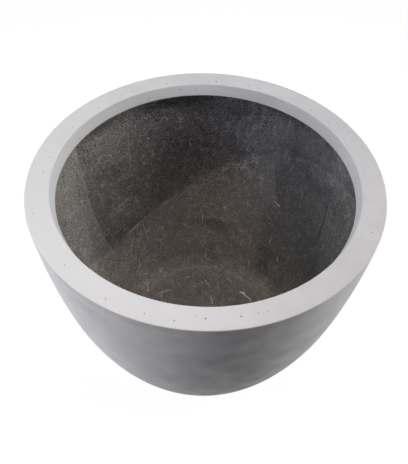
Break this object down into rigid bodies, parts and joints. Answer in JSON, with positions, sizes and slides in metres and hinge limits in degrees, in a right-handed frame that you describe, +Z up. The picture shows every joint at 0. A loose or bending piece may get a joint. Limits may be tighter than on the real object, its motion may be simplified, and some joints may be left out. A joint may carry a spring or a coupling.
{
  "type": "concrete bowl planter",
  "caption": "Round concrete bowl planter with a wide flat undercut rim, a fibre-laminate lining and a removable rubber drain plug.",
  "frame": {"origin": "centre of the base, on the ground plane", "axes": "+Z up the planter's axis of symmetry; +Y away from the side that the picture was taken from"},
  "size_m": [0.5, 0.5, 0.388],
  "materials": {
    "face_concrete": "smooth moulded cement, faintly clouded, with fine pinholes",
    "fibre_laminate": "rough cement with glass fibre",
    "fibre_mat": "rough chopped-strand glass mat wetted with cement",
    "plug_rubber": "matt black rubber"
  },
  "bodies": {
    "bowl": {"face_coat": "face_concrete", "rim_core": "fibre_laminate", "backing_shell": "fibre_laminate", "floor_mat": "fibre_mat", "wall_mat_1": "fibre_mat", "wall_mat_2": "fibre_mat", "wall_mat_3": "fibre_mat", "wall_mat_4": "fibre_mat", "wall_mat_5": "fibre_mat", "wall_mat_6": "fibre_mat", "wall_mat_7": "fibre_mat", "wall_mat_8": "fibre_mat", "wall_mat_9": "fibre_mat"},
    "plug": {"drain_plug": "plug_rubber"}
  },
  "joints": [
    {"name": "plug_pull", "type": "slide", "parent": "bowl", "child": "plug", "axis": [0, 0, 1], "range_m": [0, 0.06]}
  ]
}
